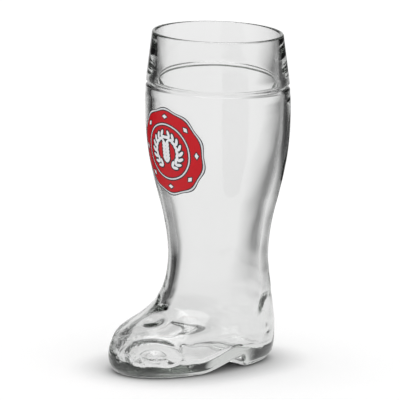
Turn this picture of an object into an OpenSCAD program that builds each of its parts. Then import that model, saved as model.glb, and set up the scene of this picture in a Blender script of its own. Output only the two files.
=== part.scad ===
// Beer boot glass: a one-litre drinking glass in the shape of a riding boot.
// One thick glass vessel (collar, groove, shaft, ankle, hollow foot, arched sole and heel)
// with a round badge on the front of the shaft, screen printed in four ink layers.
// Millimetres, +Z up, toe toward -Y. The origin is the bottom centre of the bounding box.

/* [Overall] */
// Height from the table to the mouth
height = 240; // [215:1:260]
// Angle by which the shaft leans toward the toe
lean_angle = 2.6; // [0:0.1:4]

/* [Collar] */
// Outer diameter of the mouth
mouth_d = 94.2; // [88:0.2:98]
// Outer diameter of the collar just above the groove
collar_d = 102.8; // [98:0.2:106]
// Height of the collar from the groove to the mouth
collar_h = 37.6; // [28:0.2:46]
// Width of the groove under the collar
groove_w = 5; // [3:0.2:8]
// Depth of the groove under the collar
groove_depth = 1.6; // [0.5:0.1:2.4]
// Height above the groove of the shoulder where the collar's bore begins
shoulder_h = 7; // [2.5:0.5:12]

/* [Shaft] */
// Largest outer diameter of the shaft
shaft_d = 104.4; // [98:0.2:110]
// Outer diameter of the ankle, where the shaft is narrowest
ankle_d = 71.8; // [66:0.2:80]
// Height of the ankle above the table
ankle_h = 78.3; // [70:0.5:90]

/* [Foot] */
// Distance from the ankle's centre to the tip of the toe
toe_reach = 93.6; // [84:0.2:104]
// Distance from the ankle's centre to the back of the heel
heel_reach = 46.4; // [43:0.2:52]
// Width of the foot across the ball
ball_w = 75.6; // [68:0.2:82]
// Height of the arch between the sole and the heel
arch_h = 7.4; // [3:0.2:9]

/* [Walls] */
// Thickness of the fire-polished lip
lip_t = 2.8; // [2:0.1:4]
// Thickness of the collar's wall at the groove
collar_t = 7; // [5.5:0.1:8.5]
// Thickness of the shaft's wall at its widest
shaft_t = 4.8; // [3.5:0.1:6.5]
// Thickness of the wall at the ankle
ankle_t = 6.2; // [4.5:0.1:7.5]
// Thickness of the wall around the foot
foot_t = 9; // [5.5:0.1:10]
// Thickness of the sole under the ball
sole_t = 8; // [6:0.1:10]
// Thickness of the heel
heel_t = 10; // [7:0.1:12]

/* [Badge] */
// Diameter of the printed badge
badge_d = 65; // [50:0.5:68]
// Height of bare glass between the badge's top and the groove
badge_drop = 9.4; // [6:0.2:16]
// Lobes around the badge's edge
badge_lobes = 10; // [6:1:10]
// Thickness of each ink layer
ink_t = 0.08; // [0.05:0.01:0.1]

/* [Hidden] */
// Points around each ring of the glass; even, so that left and right mirror each other
ring_points = 52;
ring_step = 360 / ring_points;

mouth_r = mouth_d / 2;
collar_r = collar_d / 2;
shaft_r = shaft_d / 2;
ankle_r = ankle_d / 2;
ball_r = ball_w / 2;
lean_rise = tan(lean_angle);
groove_z = height - collar_h;
groove_half = groove_w / 2;
// Straight cylinder inside the collar
bore_r = collar_r - collar_t;
lip_r = lip_t / 2;
// The groove's floor sits where the shaft's line would have reached
shaft_top_z = groove_z - groove_half;
widest_z = ankle_h + (shaft_top_z - ankle_h) * 0.91;
// The whole is moved back by this much, so that the origin is midway between toe and heel
centre_y = (toe_reach - heel_reach) / 2;

// Stations of the foot from the table to the ankle, one row each:
// height as a share of the ankle's; reach of the toe side, of the heel side and of the half
// width as shares of the way from the ankle's radius to the foot's size; then the widest
// place as a share of the toe's reach, and the roundness powers of the front and the back.
foot_shares = [
    [0,     0.90, 0.10, -2.6, 0.33, 2.2, 2.5],
    [0.018, 0.94, 0.45, -1.2, 0.33, 2.2, 2.5],
    [0.07,  0.99, 0.80,  0.1, 0.33, 2.2, 2.6],
    [0.165, 1.00, 0.94,  0.9, 0.33, 2.2, 2.6],
    [0.27,  0.95, 0.98,  1.0, 0.31, 2.2, 2.5],
    [0.375, 0.82, 1.00,  0.7, 0.26, 2.2, 2.4],
    [0.47,  0.44, 1.00,  0.1, 0.19, 2.1, 2.2],
    [0.55,  0.24, 0.94, -0.3, 0.13, 2.0, 2.1],
    [0.63,  0.14, 0.80, -0.4, 0.08, 2.0, 2.0],
    [0.72,  0.07, 0.60, -0.4, 0.03, 2.0, 2.0],
    [0.85,  0.02, 0.25, -0.2, 0.00, 2.0, 2.0],
    [1,     0,    0,     0,   0.00, 2.0, 2.0],
];
// Stations of the shaft from the ankle to its widest place: share of the height and of the
// way from the ankle's radius to the shaft's
shaft_shares = [
    [0, 0], [0.13, 0.07], [0.27, 0.235], [0.41, 0.48], [0.55, 0.705],
    [0.69, 0.875], [0.84, 0.97], [1, 1],
];
// Rings drawn from one station to the next
station_rows = 2;

// Lengthwise places of the arch as shares of the toe's reach: its front end, its crown and
// the heel's front edge
arch_front_y = -0.46 * toe_reach;
arch_crown_y = -0.065 * toe_reach;
arch_heel_y = 0.035 * toe_reach;
// Height over which the foot's wall thins to the ankle's
foot_wall_h = 0.8 * ankle_h;
// Height over which the arch fades into the foot's side
arch_fade_h = 0.34 * ankle_h;

// Badge shares of its radius
badge_r = badge_d / 2;
badge_h = shaft_top_z - badge_drop - badge_r;
lobe_share = 0.022;
field_share = 0.94;
gap_outer_share = 0.655;
gap_inner_share = 0.6;
key_share = 0.022;
// Clearance under each ink layer, so that its flat facets clear the ones below
ink_gap = 0.09;
badge_points = 40;
// Motif of the badge: three ears of barley inside the ring and lozenges on the border
ear_grains = 7;
ear_share = 0.085;
ear_arc_share = 0.36;
ear_start = 14;
ear_end = 158;
middle_share = 0.24;
border_share = 0.79;
lozenge_share = 0.07;
border_marks = 8;

function mix(a, b, share) = a + (b - a) * share;
function ease(share) = let (s = min(1, max(0, share))) s * s * (3 - 2 * s);

// Point at place t along a table of stations, on a smooth curve through every station
function station(table, t) =
    let (
        i = min(floor(t), len(table) - 2),
        f = t - i,
        p1 = table[i],
        p2 = table[i + 1],
        p0 = i > 0 ? table[i - 1] : 2 * p1 - p2,
        p3 = i + 2 < len(table) ? table[i + 2] : 2 * p2 - p1
    )
    0.5 * (2 * p1 + (p2 - p0) * f + (2 * p0 - 5 * p1 + 4 * p2 - p3) * f * f
        + (3 * p1 - p0 - 3 * p2 + p3) * f * f * f);

// Centre of the leaning shaft, and a round section of it
function axis_y(z) = -lean_rise * (z - ankle_h);
function round_section(z, r) = [z, axis_y(z) - r, axis_y(z) + r, r, axis_y(z), 2, 2];

// Every station of the outside from the table to the shaft's widest place, as sections:
// [height, front, back, half width, widest place, power of the front, power of the back]
stations = concat(
    [for (s = foot_shares)
        [s[0] * ankle_h, -mix(ankle_r, toe_reach, s[1]), mix(ankle_r, heel_reach, s[2]),
            mix(ankle_r, ball_r, s[3]), -s[4] * toe_reach, s[5], s[6]]],
    [for (i = [1 : len(shaft_shares) - 1])
        let (s = shaft_shares[i])
        round_section(mix(ankle_h, widest_z, s[0]), mix(ankle_r, shaft_r, s[1]))]
);
last_station = len(stations) - 1;
ankle_station = len(foot_shares) - 1;
function section(t) = station(stations, t);
function wall_at(z) =
    mix(mix(foot_t, ankle_t, ease(z / foot_wall_h)), shaft_t,
        ease((z - ankle_h) / (widest_z - ankle_h)));

// Section of the hollow: the outer one moved inward along the slope of the boot's front
function hollow_section(t) =
    let (
        s = section(t),
        a = section(max(0, t - 0.1)),
        b = section(min(last_station, t + 0.1)),
        rise = b[0] - a[0],
        run = b[1] - a[1],
        slope = norm([rise, run]),
        wall = wall_at(s[0])
    )
    [s[0] - wall * run / slope, s[1] + wall * rise / slope, s[2] - wall, s[3] - wall,
        s[4], s[5], s[6]];

// Station where the hollow's side starts above the rounded edge of its floor
hollow_start = 3.5;
hollow_foot = hollow_section(hollow_start);
floor_round = hollow_foot[0] - sole_t;
function floor_section(angle) =
    let (inset = floor_round * (1 - cos(angle)))
    [hollow_foot[0] - floor_round * sin(angle), hollow_foot[1] + inset, hollow_foot[2] - inset,
        hollow_foot[3] - inset, hollow_foot[4], hollow_foot[5], hollow_foot[6]];

// Rise of the underside at lengthwise place y, and of the hollow's floor over it
function arch_rise(y) =
    arch_h * (y < arch_crown_y
        ? ease((y - arch_front_y) / (arch_crown_y - arch_front_y))
        : ease((arch_heel_y - y) / (arch_heel_y - arch_crown_y)));
function floor_rise(y) =
    y < arch_crown_y ? arch_rise(y)
        : mix(heel_t - sole_t, arch_h, ease((2 * arch_heel_y - y + ankle_r / 2) / ankle_r));

function arch_fade(z) = pow(max(0, 1 - z / arch_fade_h), 2);
function power(v, n) = sign(v) * pow(abs(v), 2 / n);

// One ring of points around a section. The mode is 0 for the outside, whose underside rises
// at the arch, and 1 for the hollow, whose floor follows
function ring(s, mode) = [
    for (i = [0 : ring_points - 1])
        let (
            c = cos(i * ring_step),
            y = s[4] - (c > 0 ? (s[4] - s[1]) * power(c, s[5]) : (s[2] - s[4]) * power(c, s[6])),
            lift = mode == 0 ? arch_rise(y) * arch_fade(s[0])
                : floor_rise(y) * arch_fade(s[0] - sole_t)
        )
        [s[3] * power(sin(i * ring_step), c > 0 ? s[5] : s[6]), y + centre_y, s[0] + lift]
];

// Radius of the outside about the groove: the shaft's top, the groove and the collar's foot
function groove_radius(z) =
    let (
        far = abs(z - groove_z) / groove_half,
        line = mix(shaft_r - groove_depth / 3, collar_r, ease((z - shaft_top_z) / groove_w))
    )
    line - (far < 1 ? groove_depth * (1 + cos(180 * far)) / 2 : 0);

// Inner radius at a share of the way from the collar's shoulder down to the shaft's widest place
throat_end_share = 0.77;
function throat_radius(share) = mix(bore_r, shaft_r - shaft_t, ease(share / throat_end_share));

outside_sections = [
    for (i = [0 : station_rows * last_station]) section(i / station_rows),
    for (i = [-4 : 4])
        let (z = groove_z + i * groove_half / 4) round_section(z, groove_radius(z)),
    for (i = [1 : 2])
        let (s = i / 3)
        round_section(mix(groove_z + groove_half, height - lip_r, s), mix(collar_r, mouth_r, s)),
    for (a = [0 : 36 : 180])
        round_section(height - lip_r + lip_r * sin(a), mouth_r - lip_r + lip_r * cos(a)),
];
throat_z = groove_z + shoulder_h;
throat_rows = 7;
hollow_sections = [
    round_section(mix(height, throat_z, 0.25), mix(mouth_r - lip_t, bore_r, 0.8)),
    for (i = [0 : throat_rows - 1])
        let (share = i / throat_rows)
        round_section(mix(throat_z, widest_z, share), throat_radius(share)),
    for (t = [last_station : -1 : ankle_station]) hollow_section(t),
    for (t = [ankle_station - 0.5 : -0.5 : hollow_start]) hollow_section(t),
    for (a = [22.5 : 22.5 : 90]) floor_section(a),
];

rings = concat(
    [for (s = outside_sections) ring(s, 0)],
    [for (s = hollow_sections) ring(s, 1)]
);
last_ring = len(rings) - 1;

// Ring points of the underside that lie flat on the table, counted from the toe
sole_last = len([for (i = [0 : ring_points / 2]) if (rings[0][i][1] - centre_y < arch_front_y) i]) - 1;
heel_first = ring_points / 2 + 1
    - len([for (i = [0 : ring_points / 2]) if (rings[0][i][1] - centre_y > arch_heel_y) i]);

function mirrored(i) = (ring_points - i) % ring_points;
// Triangles between ring k and the next one, turned outward
function wall_faces(k) = [
    for (i = [0 : ring_points - 1])
        let (
            j = (i + 1) % ring_points,
            a = k * ring_points + i,
            b = k * ring_points + j,
            c = a + ring_points,
            d = b + ring_points
        )
        each i < ring_points / 2 ? [[a, c, b], [b, c, d]] : [[a, c, d], [a, d, b]]
];
// Crosswise strips that close ring k from one side to the other
function strip_faces(k, first, last) = [
    for (i = [first : last - 1])
        [k * ring_points + i, k * ring_points + i + 1,
            k * ring_points + mirrored(i + 1), k * ring_points + mirrored(i)]
];
function flipped(faces) = [for (f = faces) [for (i = [len(f) - 1 : -1 : 0]) f[i]]];
function floor_faces(k) = concat(
    [[k * ring_points, k * ring_points + 1, k * ring_points + mirrored(1)]],
    strip_faces(k, 1, ring_points / 2 - 1),
    [[k * ring_points + ring_points / 2 - 1, k * ring_points + ring_points / 2,
        k * ring_points + ring_points / 2 + 1]]
);

underside = concat(
    [[for (i = [-sole_last : sole_last]) mirrored(-i)]],
    strip_faces(0, sole_last, heel_first),
    [[for (i = [heel_first : ring_points - heel_first]) i]]
);

module boot_glass() {
    color([0.86, 0.92, 0.9, 0.35])
        polyhedron(
            points = [for (r = rings) each r],
            faces = concat(underside, [for (k = [0 : last_ring - 1]) each wall_faces(k)],
                flipped(floor_faces(last_ring))),
            convexity = 8
        );
}

// Outer radius of the shaft at height z, on the straight lines between its drawn rings
shaft_line = [for (s = outside_sections) if (s[0] >= ankle_h) [s[0], s[3]]];
function shaft_radius(z) = lookup(z, shaft_line);

// Place on the shaft's front: x and y measured along the glass from the badge's centre,
// lifted off it by the given height
function on_shaft(p, lift) =
    let (
        z = badge_h + p[1],
        r = shaft_radius(z),
        turn = p[0] / r * 180 / PI
    )
    [(r + lift) * sin(turn), axis_y(z) + centre_y - (r + lift) * cos(turn), z];

function polar(r, a) = [r * sin(a), r * cos(a)];
// Closed skin between two printed faces given as equal grids of points, one row after the
// other. A wrapped row joins its ends, and a hub closes the first row with a centre point
function shell_faces(rows, count, wrap, hub) =
    let (n = rows * count, last = wrap ? count - 1 : count - 2, m = n - count)
    concat(
        [for (k = [0 : rows - 2], i = [0 : last])
            let (j = (i + 1) % count, a = k * count + i, b = k * count + j)
            each [[a, b, a + count], [b, b + count, a + count],
                [a + n, a + count + n, b + n], [b + n, a + count + n, b + count + n]]],
        [for (i = [0 : last])
            let (j = (i + 1) % count)
            each [[m + i, m + j, m + i + n], [m + j, m + j + n, m + i + n]]],
        [for (i = [0 : last])
            let (j = (i + 1) % count)
            each hub ? [[i, 2 * n, j], [j + n, 2 * n + 1, i + n]]
                : [[i, i + n, j], [j, i + n, j + n]]],
        wrap ? [] : [for (k = [0 : rows - 2])
            let (a = k * count, b = a + count, c = b - 1, d = c + count)
            each [[a, b, a + n], [b, b + n, a + n], [c, c + n, d], [d, c + n, d + n]]]
    );

// One printed area: a grid of flat points laid on the shaft as the given ink layer
module ink(grid, layer, wrap = true, hub = false) {
    low = ink_gap + layer * (ink_t + ink_gap);
    heart = hub ? [[0, 0]] : [];
    polyhedron(
        points = concat([for (r = grid, p = r) on_shaft(p, low)],
            [for (r = grid, p = r) on_shaft(p, low + ink_t)],
            [for (p = heart) on_shaft(p, low)], [for (p = heart) on_shaft(p, low + ink_t)]),
        faces = shell_faces(len(grid), len(grid[0]), wrap, hub),
        convexity = 4
    );
}

// Rings of points from one share of the badge's radius to another, with the lobes at the
// rim and none at the middle
function band(inner_share, outer_share, steps) = [
    for (k = [0 : steps])
        let (share = mix(inner_share, outer_share, k / steps))
        [for (i = [0 : badge_points - 1])
            let (a = i * 360 / badge_points)
            polar(badge_r * share
                * (1 + lobe_share * pow(share, 6) * (cos(a * badge_lobes) - 1)), a)]
];

// An ear of barley as rows of three points along an arc about the badge's centre, or up its
// middle line when the arc's radius share is zero
function ear(arc_share, side, widen) = [
    for (k = [0 : 2 * ear_grains])
        let (
            s = k / (2 * ear_grains),
            swell = (k % 2 == 0 ? 0.42 : 1) * (0.55 + 0.45 * sin(180 * pow(s, 0.6))),
            half = badge_r * (ear_share * swell * (s > 0.99 ? 0.4 : 1) + widen),
            reach = widen * (2 * s - 1),
            a = 180 + side * mix(ear_start, ear_end, s + reach)
        )
        [for (w = [-half, 0, half])
            arc_share > 0 ? polar(arc_share * badge_r - side * w, a)
                : [w, badge_r * mix(-middle_share, middle_share, s + reach)]]
];
ears = [[ear_arc_share, 1], [ear_arc_share, -1], [0, 0]];

// A lozenge on the red border at the given angle
function lozenge(a) = [
    for (k = [-1 : 1])
        let (half = badge_r * lozenge_share * (k == 0 ? 1 : 0.1))
        [for (w = [-half, 0, half])
            polar(badge_r * (border_share + k * lozenge_share), a) + [w * cos(a), -w * sin(a)]]
];
lozenge_angles = [for (i = [0 : border_marks - 1]) (i + 0.5) * 360 / border_marks];

module badge_ground() {
    color([0.78, 0.79, 0.81]) ink(band(0.1, 1, 7), 0, hub = true);
}

module badge_red() {
    color([0.82, 0.09, 0.14]) {
        ink(band(gap_outer_share, field_share, 2), 1);
        ink(band(0.1, gap_inner_share, 4), 1, hub = true);
    }
}

module badge_dark() {
    color([0.13, 0.13, 0.15]) {
        for (share = [gap_inner_share, gap_outer_share, field_share, 1])
            ink(band(share - key_share, share, 1), 2);
        for (e = ears) ink(ear(e[0], e[1], key_share), 2, wrap = false);
    }
}

module badge_silver() {
    color([0.9, 0.9, 0.92]) {
        for (e = ears) ink(ear(e[0], e[1], 0), 3, wrap = false);
        for (a = lozenge_angles) ink(lozenge(a), 3, wrap = false);
    }
}

boot_glass();
badge_ground();
badge_red();
badge_dark();
badge_silver();
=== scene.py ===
"""Beer boot glass: the dressed model, its materials, the table, the light and the camera.

The glass is one smooth vessel drawn from the same stations as the CAD part, and the badge on
its front is four thin fired ink layers that follow the curved wall. Metres, +Z up, toe toward
-Y, the same frame as the CAD model.
"""

import logging
import math
from dataclasses import dataclass, field
from enum import Enum
from typing import Sequence

import bmesh
import bpy
from mathutils import Matrix, Vector


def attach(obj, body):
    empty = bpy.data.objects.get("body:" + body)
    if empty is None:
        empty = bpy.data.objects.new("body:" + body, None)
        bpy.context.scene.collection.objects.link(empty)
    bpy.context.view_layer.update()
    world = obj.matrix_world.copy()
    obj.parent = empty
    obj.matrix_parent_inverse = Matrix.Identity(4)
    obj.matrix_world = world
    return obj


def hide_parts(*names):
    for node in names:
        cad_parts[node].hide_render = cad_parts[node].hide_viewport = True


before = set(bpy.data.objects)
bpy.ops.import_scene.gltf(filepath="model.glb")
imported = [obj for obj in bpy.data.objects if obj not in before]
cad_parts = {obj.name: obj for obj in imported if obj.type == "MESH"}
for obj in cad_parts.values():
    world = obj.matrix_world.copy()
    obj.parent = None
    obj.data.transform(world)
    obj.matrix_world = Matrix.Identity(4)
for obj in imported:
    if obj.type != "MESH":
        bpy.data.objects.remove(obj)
LOG = logging.getLogger("beer_boot")
MM = 0.001
MERGE = 1e-7
MOST_BOUNCES = 24
GLASS_BOUNCES = 20

Section = tuple[float, ...]
Point = tuple[float, float, float]
Flat = tuple[float, float]


# Shared helpers


def mix(a: float, b: float, share: float) -> float:
    """Value at a share of the way from a to b."""
    return a + (b - a) * share


def ease(share: float) -> float:
    """Smooth step from 0 to 1."""
    s = min(1.0, max(0.0, share))
    return s * s * (3 - 2 * s)


def linear_colour(hex_code: str, alpha: float = 1.0) -> tuple[float, float, float, float]:
    """Turn an sRGB hex code into linear colour.

    Args:
        hex_code: six hex digits, with or without a leading #.
        alpha: the fourth channel.

    Returns:
        Linear red, green and blue, and the alpha.
    """
    code = hex_code.lstrip("#")
    parts = [int(code[i : i + 2], 16) / 255 for i in (0, 2, 4)]
    lin = [c / 12.92 if c <= 0.04045 else ((c + 0.055) / 1.055) ** 2.4 for c in parts]
    return (lin[0], lin[1], lin[2], alpha)


def add_node(
    tree: bpy.types.NodeTree,
    kind: str,
    settings: dict[str, object] | None = None,
    inputs: dict[object, object] | None = None,
) -> bpy.types.Node:
    """Add a node with its settings, values and links.

    Args:
        tree: the tree that takes the node.
        kind: the node's Blender type name.
        settings: attributes set on the node.
        inputs: socket name or index to a value, or to an output socket to link from.

    Returns:
        The new node.
    """
    node = tree.nodes.new(kind)
    for key, value in (settings or {}).items():
        setattr(node, key, value)
    for key, value in (inputs or {}).items():
        socket = node.inputs[key]
        if isinstance(value, bpy.types.NodeSocket):
            tree.links.new(value, socket)
        else:
            socket.default_value = value
    return node


def mesh_object(
    name: str, points: Sequence[Point], faces: Sequence[Sequence[int]]
) -> bpy.types.Object:
    """Make a closed mesh object from points in millimetres, its faces turned outward.

    Args:
        name: the piece's name.
        points: the points, in millimetres.
        faces: the faces as point numbers.

    Returns:
        The new object at the origin, with its place in its mesh.
    """
    mesh = bpy.data.meshes.new(name)
    mesh.from_pydata([tuple(c * MM for c in p) for p in points], [], [tuple(f) for f in faces])
    obj = bpy.data.objects.new(name, mesh)
    bpy.context.scene.collection.objects.link(obj)
    work = bmesh.new()
    work.from_mesh(mesh)
    bmesh.ops.remove_doubles(work, verts=work.verts, dist=MERGE)
    bmesh.ops.recalc_face_normals(work, faces=work.faces)
    work.to_mesh(mesh)
    work.free()
    return obj


# The boot's form


@dataclass(frozen=True)
class BootForm:
    """Sizes of the glass in millimetres and the surfaces that follow from them.

    The foot's stations are the CAD part's: share of the ankle's height, reach of the toe side,
    of the heel side and of the half width as shares of the way from the ankle's radius to the
    foot's size, the widest place as a share of the toe's reach, and two roundness powers. A
    shaft's station is a share of the height and of the radius from the ankle to the widest
    place. The hollow's floor starts at a station number, between two of them.
    """

    height: float = 240.0
    lean_angle: float = 2.6
    mouth_r: float = 47.1
    collar_r: float = 51.4
    collar_h: float = 37.6
    groove_w: float = 5.0
    groove_depth: float = 1.6
    shelf_share: float = 1 / 3
    shoulder_h: float = 7.0
    throat_end_share: float = 0.77
    shaft_r: float = 52.2
    ankle_r: float = 35.9
    ankle_h: float = 78.3
    toe_reach: float = 93.6
    heel_reach: float = 46.4
    ball_r: float = 37.8
    arch_h: float = 7.4
    lip_t: float = 2.8
    collar_t: float = 7.0
    shaft_t: float = 4.8
    ankle_t: float = 6.2
    foot_t: float = 9.0
    sole_t: float = 8.0
    heel_t: float = 10.0
    hollow_start: float = 3.5
    widest_share: float = 0.91
    thick_share: float = 0.8
    arch_shares: Point = (-0.46, -0.065, 0.035)
    arch_fade_share: float = 0.34
    foot_shares: tuple[Section, ...] = (
        (0, 0.90, 0.10, -2.6, 0.33, 2.2, 2.5),
        (0.018, 0.94, 0.45, -1.2, 0.33, 2.2, 2.5),
        (0.07, 0.99, 0.80, 0.1, 0.33, 2.2, 2.6),
        (0.165, 1.00, 0.94, 0.9, 0.33, 2.2, 2.6),
        (0.27, 0.95, 0.98, 1.0, 0.31, 2.2, 2.5),
        (0.375, 0.82, 1.00, 0.7, 0.26, 2.2, 2.4),
        (0.47, 0.44, 1.00, 0.1, 0.19, 2.1, 2.2),
        (0.55, 0.24, 0.94, -0.3, 0.13, 2.0, 2.1),
        (0.63, 0.14, 0.80, -0.4, 0.08, 2.0, 2.0),
        (0.72, 0.07, 0.60, -0.4, 0.03, 2.0, 2.0),
        (0.85, 0.02, 0.25, -0.2, 0.00, 2.0, 2.0),
        (1, 0, 0, 0, 0.00, 2.0, 2.0),
    )
    shaft_shares: tuple[Section, ...] = (
        (0.13, 0.07), (0.27, 0.235), (0.41, 0.48), (0.55, 0.705), (0.69, 0.875),
        (0.84, 0.97), (1, 1),
    )

    @property
    def centre_y(self) -> float:
        """Distance by which the ankle's centre stands behind the origin."""
        return (self.toe_reach - self.heel_reach) / 2

    @property
    def groove_z(self) -> float:
        """Height of the groove's deepest line."""
        return self.height - self.collar_h

    @property
    def shaft_top_z(self) -> float:
        """Height where the shaft ends and the groove begins."""
        return self.groove_z - self.groove_w / 2

    @property
    def widest_z(self) -> float:
        """Height of the shaft's widest place."""
        return mix(self.ankle_h, self.shaft_top_z, self.widest_share)

    @property
    def arch_ends(self) -> tuple[float, float, float]:
        """Front end, crown and heel edge of the arch, measured from the ankle's centre."""
        front, crown, heel = self.arch_shares
        return (front * self.toe_reach, crown * self.toe_reach, heel * self.toe_reach)

    def axis_y(self, z: float) -> float:
        """Lengthwise place of the leaning shaft's centre at a height."""
        return -math.tan(math.radians(self.lean_angle)) * (z - self.ankle_h)

    def round_section(self, z: float, r: float) -> Section:
        """Section of a round part of the shaft or collar."""
        y = self.axis_y(z)
        return (z, y - r, y + r, r, y, 2.0, 2.0)

    def stations(self) -> list[Section]:
        """Every station of the outside, from the table to the shaft's widest place.

        Returns:
            Sections of height, front, back, half width, widest place and two powers.
        """
        foot = [
            (
                s[0] * self.ankle_h,
                -mix(self.ankle_r, self.toe_reach, s[1]),
                mix(self.ankle_r, self.heel_reach, s[2]),
                mix(self.ankle_r, self.ball_r, s[3]),
                -s[4] * self.toe_reach,
                s[5],
                s[6],
            )
            for s in self.foot_shares
        ]
        shaft = [
            self.round_section(
                mix(self.ankle_h, self.widest_z, s[0]), mix(self.ankle_r, self.shaft_r, s[1])
            )
            for s in self.shaft_shares
        ]
        return foot + shaft

    def wall_at(self, z: float) -> float:
        """Thickness of the wall at a height, thinner where the shaft is widest."""
        low = mix(self.foot_t, self.ankle_t, ease(z / (self.thick_share * self.ankle_h)))
        share = ease((z - self.ankle_h) / (self.widest_z - self.ankle_h))
        return mix(low, self.shaft_t, share)

    def arch_rise(self, y: float) -> float:
        """Rise of the underside at a lengthwise place."""
        front, crown, heel = self.arch_ends
        if y < crown:
            return self.arch_h * ease((y - front) / (crown - front))
        return self.arch_h * ease((heel - y) / (heel - crown))

    def floor_rise(self, y: float) -> float:
        """Rise of the hollow's floor over the sole at a lengthwise place."""
        _, crown, heel = self.arch_ends
        if y < crown:
            return self.arch_rise(y)
        share = ease((2 * heel - y + self.ankle_r / 2) / self.ankle_r)
        return mix(self.heel_t - self.sole_t, self.arch_h, share)

    def arch_fade(self, z: float) -> float:
        """Share of the arch's rise that is left at a height above it."""
        return max(0.0, 1 - z / (self.arch_fade_share * self.ankle_h)) ** 2

    def groove_radius(self, z: float) -> float:
        """Outer radius about the groove: the shaft's top, the groove and the collar's foot.

        Args:
            z: the height in millimetres.

        Returns:
            The radius in millimetres.
        """
        half = self.groove_w / 2
        far = abs(z - self.groove_z) / half
        line = mix(
            self.shaft_r - self.groove_depth * self.shelf_share,
            self.collar_r,
            ease((z - self.shaft_top_z) / self.groove_w),
        )
        if far >= 1:
            return line
        return line - self.groove_depth * (1 + math.cos(math.pi * far)) / 2


@dataclass(frozen=True)
class Loft:
    """Smooth curve through a table of stations."""

    table: tuple[Section, ...]

    @property
    def last(self) -> int:
        """Number of the last station."""
        return len(self.table) - 1

    def at(self, t: float) -> Section:
        """Station at a place along the table.

        Args:
            t: the place, where whole numbers are the stations themselves.

        Returns:
            The blended station.
        """
        i = min(int(math.floor(t)), self.last - 1)
        f = t - i
        p1, p2 = self.table[i], self.table[i + 1]
        p0 = self.table[i - 1] if i > 0 else tuple(2 * a - b for a, b in zip(p1, p2))
        p3 = self.table[i + 2] if i + 2 <= self.last else tuple(2 * b - a for a, b in zip(p1, p2))
        return tuple(
            0.5
            * (
                2 * b
                + (c - a) * f
                + (2 * a - 5 * b + 4 * c - d) * f * f
                + (3 * b - a - 3 * c + d) * f * f * f
            )
            for a, b, c, d in zip(p0, p1, p2, p3)
        )


def signed_power(v: float, n: float) -> float:
    """Coordinate of a rounded-square curve of power n."""
    return math.copysign(abs(v) ** (2 / n), v)


# Finishes


class Ink(Enum):
    """The four screen-printed ceramic inks of the badge."""

    GROUND = "badge_ground"
    RED = "badge_red"
    DARK = "badge_dark"
    SILVER = "badge_silver"


@dataclass(frozen=True)
class SodaLimeGlass:
    """Clear soda-lime container glass, mould blown and fire polished.

    It is colourless in a thin wall and turns faintly grey-green in the thick sole. The mould
    leaves soft waves about 26 mm apart on its skin, which bend the picture behind it, and the
    toe is crinkled at about 5 mm where the skin chilled early. Depths and the toe's reach in y
    and z are metres.
    """

    name: str = "soda_lime_glass"
    tint: str = "FFFFFF"
    depth_tint: str = "C5C9C5"
    ior: float = 1.51
    density: float = 12.0
    wave_mm: float = 26.0
    wave_strength: float = 0.10
    wave_depth: float = 0.002
    crinkle_mm: float = 5.0
    crinkle_strength: float = 0.9
    crinkle_depth: float = 0.001
    toe_y: tuple[float, float] = (-0.050, -0.064)
    toe_z: tuple[float, float] = (0.046, 0.034)

    def build(self) -> bpy.types.Material:
        """Build the glass material.

        Returns:
            The material, with refraction at the surface and faint absorption inside.
        """
        mat = bpy.data.materials.new(self.name)
        mat.use_nodes = True
        tree = mat.node_tree
        tree.nodes.clear()
        place = add_node(tree, "ShaderNodeTexCoord")
        waves = add_node(
            tree,
            "ShaderNodeTexNoise",
            {"noise_dimensions": "3D"},
            {
                "Vector": place.outputs["Object"],
                "Scale": 1000.0 / self.wave_mm,
                "Detail": 1.0,
                "Roughness": 0.4,
            },
        )
        relief = add_node(
            tree,
            "ShaderNodeBump",
            None,
            {
                "Height": waves.outputs["Fac"],
                "Strength": self.wave_strength,
                "Distance": self.wave_depth,
            },
        )
        parts = add_node(
            tree, "ShaderNodeSeparateXYZ", None, {"Vector": place.outputs["Object"]}
        )
        fore, low = (
            add_node(
                tree,
                "ShaderNodeMapRange",
                {"interpolation_type": "SMOOTHSTEP"},
                {"Value": parts.outputs[axis], "From Min": start, "From Max": end},
            )
            for axis, (start, end) in (("Y", self.toe_y), ("Z", self.toe_z))
        )
        toe = add_node(
            tree,
            "ShaderNodeMath",
            {"operation": "MULTIPLY"},
            {0: fore.outputs["Result"], 1: low.outputs["Result"]},
        )
        crinkle = add_node(
            tree,
            "ShaderNodeTexNoise",
            {"noise_dimensions": "3D"},
            {
                "Vector": place.outputs["Object"],
                "Scale": 1000.0 / self.crinkle_mm,
                "Detail": 2.0,
                "Distortion": 1.2,
            },
        )
        chill = add_node(
            tree,
            "ShaderNodeMath",
            {"operation": "MULTIPLY"},
            {0: toe.outputs[0], 1: self.crinkle_strength},
        )
        skin = add_node(
            tree,
            "ShaderNodeBump",
            None,
            {
                "Height": crinkle.outputs["Fac"],
                "Strength": chill.outputs[0],
                "Distance": self.crinkle_depth,
                "Normal": relief.outputs["Normal"],
            },
        )
        shader = add_node(
            tree,
            "ShaderNodeBsdfPrincipled",
            None,
            {
                "Base Color": linear_colour(self.tint),
                "Roughness": 0.0,
                "IOR": self.ior,
                "Transmission Weight": 1.0,
                "Normal": skin.outputs["Normal"],
            },
        )
        body = add_node(
            tree,
            "ShaderNodeVolumeAbsorption",
            None,
            {"Color": linear_colour(self.depth_tint), "Density": self.density},
        )
        add_node(
            tree,
            "ShaderNodeOutputMaterial",
            None,
            {"Surface": shader.outputs["BSDF"], "Volume": body.outputs["Volume"]},
        )
        return mat


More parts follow.
